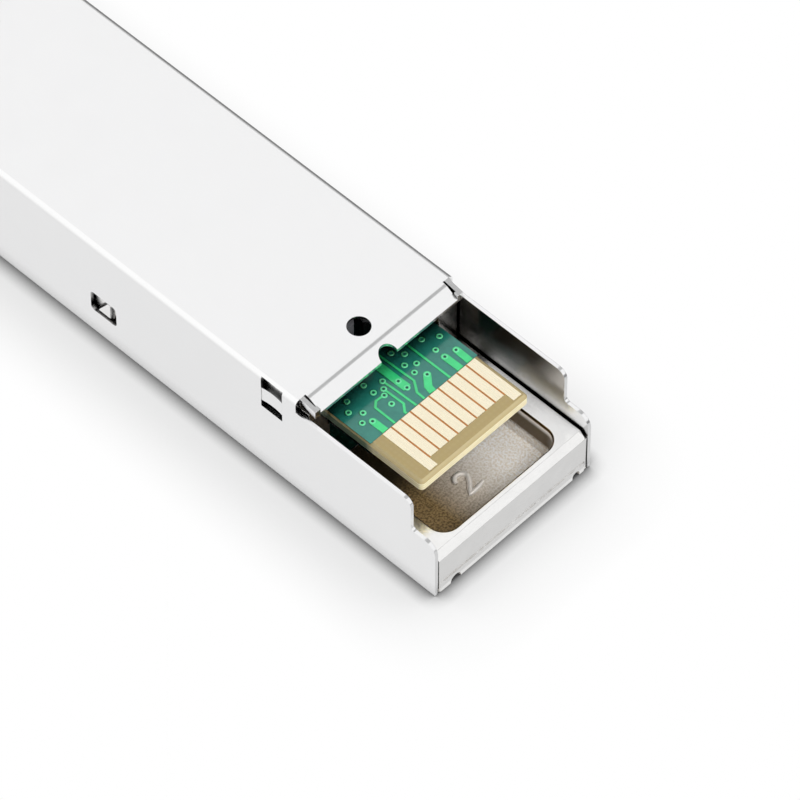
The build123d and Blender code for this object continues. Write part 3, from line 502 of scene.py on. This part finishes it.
def ringMesh(name, centres, profile, low, steps=28):
    # the same small turned ring at every centre
    shape = bmesh.new()
    for x, along in centres:
        loops = []
        for radius, rise in profile:
            loops.append([
                shape.verts.new(place(
                    x + radius * math.cos(2 * math.pi * k / steps),
                    along + radius * math.sin(2 * math.pi * k / steps), low + rise,
                )) for k in range(steps)
            ])
        for inner, outer in zip(loops, loops[1:]):
            for k in range(steps):
                n = (k + 1) % steps
                shape.faces.new((inner[k], inner[n], outer[n], outer[k]))
    bmesh.ops.recalc_face_normals(shape, faces=shape.faces)
    for face in shape.faces:
        face.smooth = True
    mesh = bpy.data.meshes.new(name)
    shape.to_mesh(mesh)
    shape.free()
    return mesh


def sweptMesh(name, path, radius, roundness, capped=True, tipShare=1.0):
    # a round wire of this radius in millimetres through the points of a path
    line = bpy.data.curves.new(name, "CURVE")
    line.dimensions = "3D"
    line.bevel_depth = radius / 1000
    line.bevel_resolution = roundness
    line.use_fill_caps = capped
    stroke = line.splines.new("POLY")
    stroke.points.add(len(path) - 1)
    for point, spot in zip(stroke.points, path):
        point.co = (*spot, 1)
    for tip in (stroke.points[0], stroke.points[-1]):
        tip.radius = tipShare
    holder = bpy.data.objects.new(name + "Curve", line)
    scene.collection.objects.link(holder)
    drawn = holder.evaluated_get(bpy.context.evaluated_depsgraph_get())
    mesh = bpy.data.meshes.new_from_object(drawn)
    bpy.data.objects.remove(holder)
    for face in mesh.polygons:
        face.use_smooth = len(face.vertices) == 4  # the caps stay flat
    mesh.materials.clear()
    return mesh


# solder mask over the board, on both faces
boardMask = {
    "from": 7.33, "to": 36.1, "half": 4.58, "top": 6.25, "bottom": 5.25, "film": 0.014, "edge": 0.008,
    "green": (0.018, 0.175, 0.135), "dark": (0.012, 0.145, 0.115),
}
maskLook = varnish("maskGreen", boardMask["green"], boardMask["dark"], 0.2)
maskOutline = [
    (-boardMask["half"], boardMask["from"]), (boardMask["half"], boardMask["from"]),
    (boardMask["half"], boardMask["to"]), (-boardMask["half"], boardMask["to"]),
]
filmTop = boardMask["top"] + boardMask["film"]
filmBottom = boardMask["bottom"] - boardMask["film"]
upperMask = plateMesh("maskUpper", [maskOutline], boardMask["top"], filmTop, boardMask["edge"])
linkMesh("maskUpper", upperMask, maskLook, "module")
lowerMask = plateMesh("maskLower", [maskOutline], filmBottom, boardMask["bottom"], 0)
linkMesh("maskLower", lowerMask, maskLook, "module")

# bare board between the contact pads, its brown darkened with painted shade
padGaps = {"left": -3.56, "right": 4.24, "from": 4.13, "to": 7.34, "rise": 0.004, "brown": (0.42, 0.16, 0.03)}
gapOutline = [
    (padGaps["left"], padGaps["from"]), (padGaps["right"], padGaps["from"]),
    (padGaps["right"], padGaps["to"]), (padGaps["left"], padGaps["to"]),
]
gapMesh = plateMesh("padGaps", [gapOutline], boardMask["top"], boardMask["top"] + padGaps["rise"], 0)
linkMesh("padGaps", gapMesh, plain("gapBrown", padGaps["brown"], 0.4), "module")
print("solder mask laid")

# copper runs and vias under the mask, each run a list of points across and along in mm
copper = {
    "thin": 0.17, "wide": 0.5, "rise": 0.03, "edge": 0.012,
    "green": (0.035, 0.54, 0.185), "dark": (0.025, 0.47, 0.155),
}
copperRuns = [
    (copper["thin"], [(2.21, 12.0), (2.22, 7.34)]),
    (copper["thin"], [(0.46, 12.0), (0.56, 8.72), (0.05, 7.98), (0.03, 7.34)]),
    (0.62, [(-0.12, 12.0), (-0.12, 9.38), (-0.1, 8.62)]),
    (copper["thin"], [(-0.77, 10.03), (-0.72, 9.2), (-0.66, 7.34)]),
    (copper["thin"], [(-1.15, 9.6), (-1.1, 7.98), (-1.5, 7.5), (-1.5, 7.34)]),
    (copper["thin"], [(-1.45, 9.25), (-2.1, 9.3), (-2.48, 8.98), (-2.5, 7.34)]),
    (copper["wide"], [(-3.31, 8.39), (-3.29, 7.34)]),
    (copper["wide"], [(1.44, 8.49), (0.84, 7.82), (0.74, 7.34)]),
    (copper["wide"], [(3.12, 8.65), (3.14, 7.34)]),
    (copper["wide"], [(3.98, 8.51), (3.94, 7.34)]),
]
copperLook = varnish("maskOverCopper", copper["green"], copper["dark"], 0.22)
copperMesh = plateMesh(
    "copperRuns", [runOutline(run, width) for width, run in copperRuns],
    filmTop - 0.002, filmTop + copper["rise"], copper["edge"],
)
linkMesh("copperRuns", copperMesh, copperLook, "module")

vias = {
    "outer": 0.215, "inner": 0.09, "rise": 0.04, "ring": (0.12, 0.66, 0.31), "ringDark": (0.08, 0.55, 0.24),
    "hole": (0.0, 0.055, 0.04),
}
viaCentres = [
    (4.03, 9.96), (3.12, 9.4), (3.11, 10.57), (1.61, 10.53), (1.09, 11.16), (1.6, 9.52), (1.0, 9.94),
    (1.02, 9.14), (1.44, 8.49), (3.12, 8.65), (3.96, 8.52), (-0.12, 9.37), (-0.1, 8.67), (-0.77, 10.05),
    (-1.14, 9.6), (-1.46, 9.24), (-1.61, 8.49), (-1.76, 9.85), (-3.34, 10.53), (-3.86, 9.88), (-3.27, 9.24),
    (-3.84, 8.75), (-3.32, 8.4), (-1.79, 10.65),
]
viaProfile = [
    (vias["inner"], 0.0), (vias["inner"], vias["rise"] * 0.8), (vias["inner"] + 0.02, vias["rise"]),
    (vias["outer"] - 0.03, vias["rise"]), (vias["outer"], vias["rise"] * 0.6), (vias["outer"] + 0.005, 0.0),
]
viaLook = varnish("viaMint", vias["ring"], vias["ringDark"], 0.22)
viaMesh = ringMesh("viaRings", viaCentres, viaProfile, filmTop)
linkMesh("viaRings", viaMesh, viaLook, "module")
holeSteps = 20
# painted shade: dark discs over the via holes stand in for their depth
holeOutlines = [
    [
        (x + vias["inner"] * 1.15 * math.cos(2 * math.pi * k / holeSteps),
         y + vias["inner"] * 1.15 * math.sin(2 * math.pi * k / holeSteps))
        for k in range(holeSteps)
    ] for x, y in viaCentres
]
holeMesh = plateMesh("viaHoles", holeOutlines, filmTop, filmTop + copper["rise"] + 0.003, 0)
linkMesh("viaHoles", holeMesh, plain("viaHoleShade", vias["hole"], 0.3), "module")
print("copper laid,", len(copperRuns), "runs,", len(viaCentres), "vias")

# raised mould digit on the tub's floor
digit = {
    "stroke": 0.34, "floor": 0.7, "rise": 0.24, "tipShare": 0.6, "colour": (0.95, 0.9, 0.84),
    "line": [
        (-0.24, 4.4), (-0.2, 4.62), (-0.04, 4.8), (0.2, 4.86), (0.44, 4.8), (0.62, 4.62), (0.66, 4.42),
        (0.58, 4.2), (0.36, 3.92), (0.08, 3.62), (-0.2, 3.3), (0.06, 3.3), (0.56, 3.33), (1.04, 3.42),
    ],
}
digitHeight = digit["floor"] + digit["rise"] - digit["stroke"] / 2
digitPath = [place(x, y, digitHeight) for x, y in digit["line"]]
digitMesh = sweptMesh("mouldDigit", digitPath, digit["stroke"] / 2, 4, False, digit["tipShare"])
digitLook = plain("mouldNickel", digit["colour"], 0.28, 0.4)
linkMesh("mouldDigit", digitMesh, digitLook, "module")
print("digit raised")


# the bail as one smooth wire, through the same points as its solid
def roundedRoute(points, radii, steps=14):
    route = [points[0]]
    for before, corner, after, radius in zip(points, points[1:], points[2:], radii):
        inward = (before - corner).normalized()
        outward = (after - corner).normalized()
        half = math.acos(max(-1, min(1, inward.dot(outward)))) / 2
        reach = radius / math.tan(half)
        centre = corner + (inward + outward).normalized() * radius / math.sin(half)
        first = corner + inward * reach - centre
        last = corner + outward * reach - centre
        sweep = first.angle(last)
        for k in range(steps + 1):
            t = k / steps
            turned = first * math.sin((1 - t) * sweep) + last * math.sin(t * sweep)
            route.append(centre + turned / math.sin(sweep))
    route.append(points[-1])
    return route


wire = {
    "radius": 0.45, "pivot": (55.2, 9.2), "throw": 0.6346, "innerX": 1.9, "outerX": 3.3, "jog": 0.8,
    "armX": 6.52, "crossbar": (57.4, 0.72), "bends": (0.3, 0.3, 0.6, 1.2),
}
crankAlong = wire["pivot"][0] + wire["throw"] * math.cos(math.radians(45))
crankUp = wire["pivot"][1] - wire["throw"] * math.sin(math.radians(45))
halfRoute = [
    place(wire["innerX"], crankAlong, crankUp), place(wire["outerX"], crankAlong, crankUp),
    place(wire["outerX"] + wire["jog"], *wire["pivot"]), place(wire["armX"], *wire["pivot"]),
    place(wire["armX"], *wire["crossbar"]),
]
otherHalf = [Vector((-p.x, p.y, p.z)) for p in reversed(halfRoute)]
bends = [b / 1000 for b in wire["bends"]]
wirePath = roundedRoute(halfRoute + otherHalf, bends + bends[::-1])
wireMesh = sweptMesh("bailWire", wirePath, wire["radius"], 7)
bailWire = linkMesh("bailWire", wireMesh, looks["spring_wire"], "release_bail")
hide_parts("bail")
print("bail wire drawn")

# the latch spring, drawn at one length on its own mesh; the real one shortens as the lever rocks
coil = {
    "along": 44.0, "radius": 0.62, "wire": 0.1, "bottom": 5.936, "top": 7.479,
    "turns": 3, "steps": 28, "pressed": 0.53,
}
coilCount = coil["turns"] * coil["steps"]
coilPath = []
for k in range(coilCount + 1):
    angle = 2 * math.pi * k / coil["steps"]
    x = coil["radius"] * math.cos(angle)
    y = coil["along"] + coil["radius"] * math.sin(angle)
    coilPath.append(place(x, y, coil["bottom"] + (coil["top"] - coil["bottom"]) * k / coilCount))
coilMesh = sweptMesh("latchCoil", coilPath, coil["wire"], 4)
latchCoil = linkMesh("latchCoil", coilMesh, looks["spring_wire"], "module")
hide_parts("latch_spring")
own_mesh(latchCoil)
print("latch spring wound")

# floor and light
floorSize = {"half": 1.2, "drop": 0.0, "grey": 0.93}
floorMesh = bpy.data.meshes.new("floor")
floorReach, floorHeight = floorSize["half"], floorSize["drop"]
floorMesh.from_pydata([
    (-floorReach, -floorReach, floorHeight), (floorReach, -floorReach, floorHeight),
    (floorReach, floorReach, floorHeight), (-floorReach, floorReach, floorHeight),
], [], [(0, 1, 2, 3)])
floor = bpy.data.objects.new("floor", floorMesh)
scene.collection.objects.link(floor)
floorLook, floorTree, floorShader = startMaterial("paleFloor")
floorShader.inputs["Base Color"].default_value = (floorSize["grey"],) * 3 + (1,)
floorShader.inputs["Roughness"].default_value = 0.9
floorShader.inputs["Specular IOR Level"].default_value = 0.0
# what the camera and the metal see: white, with the object's shadow on it
shadow = {
    "near": 1.2, "nearSpan": (0.38, 0.99), "nearDark": 0.05,
    "wide": 6.5, "wideSpan": (0.65, 1.0), "wideDark": 0.79,
    "metalLow": 0.84, "metalHigh": 0.885,
}
tight = addNode(floorTree, "ShaderNodeAmbientOcclusion", samples=12)
tight.inputs["Distance"].default_value = shadow["near"] / 1000
wide = addNode(floorTree, "ShaderNodeAmbientOcclusion", samples=12)
wide.inputs["Distance"].default_value = shadow["wide"] / 1000
shade = addNode(floorTree, "ShaderNodeMath", operation="MULTIPLY")
nearShade = between(floorTree, tight.outputs["AO"], shadow["nearDark"], 1, *shadow["nearSpan"])
wideShade = between(floorTree, wide.outputs["AO"], shadow["wideDark"], 1, *shadow["wideSpan"])
floorTree.links.new(nearShade, shade.inputs[0])
floorTree.links.new(wideShade, shade.inputs[1])
seen = addNode(floorTree, "ShaderNodeEmission")
ray = addNode(floorTree, "ShaderNodeLightPath")
paler = between(floorTree, shade.outputs["Value"], shadow["metalLow"], shadow["metalHigh"], 0, 1)
tone = addNode(floorTree, "ShaderNodeMix", data_type="FLOAT")
floorTree.links.new(ray.outputs["Is Camera Ray"], tone.inputs["Factor"])
floorTree.links.new(paler, tone.inputs["A"])
floorTree.links.new(shade.outputs["Value"], tone.inputs["B"])
floorTree.links.new(tone.outputs["Result"], seen.inputs["Strength"])
lookedAt = addNode(floorTree, "ShaderNodeMath", operation="MAXIMUM")
floorTree.links.new(ray.outputs["Is Camera Ray"], lookedAt.inputs[0])
floorTree.links.new(ray.outputs["Is Glossy Ray"], lookedAt.inputs[1])
through = addNode(floorTree, "ShaderNodeMath", operation="MAXIMUM")
floorTree.links.new(lookedAt.outputs["Value"], through.inputs[0])
floorTree.links.new(ray.outputs["Is Transmission Ray"], through.inputs[1])
choice = addNode(floorTree, "ShaderNodeMixShader")
floorTree.links.new(through.outputs["Value"], choice.inputs[0])
floorTree.links.new(floorShader.outputs["BSDF"], choice.inputs[1])
floorTree.links.new(seen.outputs["Emission"], choice.inputs[2])
floorTree.links.new(choice.outputs["Shader"], floorTree.nodes["Material Output"].inputs["Surface"])
floorMesh.materials.append(floorLook)

sky = {"light": 1.0}
world = bpy.data.worlds.new("studio")
scene.world = world
world.use_nodes = True
world.node_tree.nodes["Background"].inputs["Color"].default_value = (1, 1, 1, 1)
world.node_tree.nodes["Background"].inputs["Strength"].default_value = sky["light"]

# grey boards that only the metal's reflections see, as in a light tent
flagBoards = {
    "farLow": {"grey": 0.22, "corners": [(14, -60, 1), (14, 160, 1), (150, 160, 80), (150, -60, 80)]},
    "farHigh": {"grey": 0.6, "corners": [(150, -60, 80), (150, 160, 80), (150, 160, 165), (150, -60, 165)]},
    "foldFlag": {"grey": 0.5, "corners": [(10, -64, 200), (190, -64, 200), (190, 52, 200), (10, 52, 200)]},
    "backFlag": {
        "grey": 0.4, "corners": [(-120, 230, 20), (120, 230, 20), (120, 230, 130), (-120, 230, 130)],
    },
    "rearFlag": {
        "grey": 0.66, "corners": [(-230, -230, 20), (40, -230, 20), (40, -230, 300), (-230, -230, 300)],
    },
    "frontFlag": {
        "grey": 0.69, "corners": [(-40, -0.1, 0.15), (-40, -90, 0.15), (90, -90, 0.15), (90, -0.1, 0.15)],
    },
}
for name, board in flagBoards.items():
    boardMesh = bpy.data.meshes.new(name)
    boardMesh.from_pydata([place(*corner) for corner in board["corners"]], [], [(0, 1, 2, 3)])
    flag = bpy.data.objects.new(name, boardMesh)
    scene.collection.objects.link(flag)
    flagLook, flagTree, flagShader = startMaterial(name)
    flagShader.inputs["Base Color"].default_value = (0, 0, 0, 1)
    flagShader.inputs["Specular IOR Level"].default_value = 0.0
    flagShader.inputs["Emission Color"].default_value = (board["grey"],) * 3 + (1,)
    flagShader.inputs["Emission Strength"].default_value = 1.0
    boardMesh.materials.append(flagLook)
    flag.visible_camera = False
    flag.visible_diffuse = False
    flag.visible_shadow = False
    flag.visible_transmission = False

lamps = {
    "topLight": {"at": (-40, 60, 320), "aim": (0, 10, 4), "size": 160, "watts": 0.05},
    "sideLight": {"at": (-240, 150, 140), "aim": (0, 25, 5), "size": 180, "watts": 0.06},
    "tubLight": {"at": (-14, -80, 126), "aim": (1, 3, 1), "size": 50, "watts": 0.11},
}
for name, lamp in lamps.items():
    source = bpy.data.lights.new(name, "AREA")
    source.shape = "DISK"
    source.size = lamp["size"] / 1000
    source.energy = lamp["watts"]
    lampObject = bpy.data.objects.new(name, source)
    scene.collection.objects.link(lampObject)
    spot = place(*lamp["at"])
    lampObject.location = spot
    lampObject.visible_glossy = False  # the metal mirrors the sky, the floor and the boards only
    lampObject.rotation_euler = (place(*lamp["aim"]) - spot).to_track_quat("-Z", "Y").to_euler()
print("floor and light set")
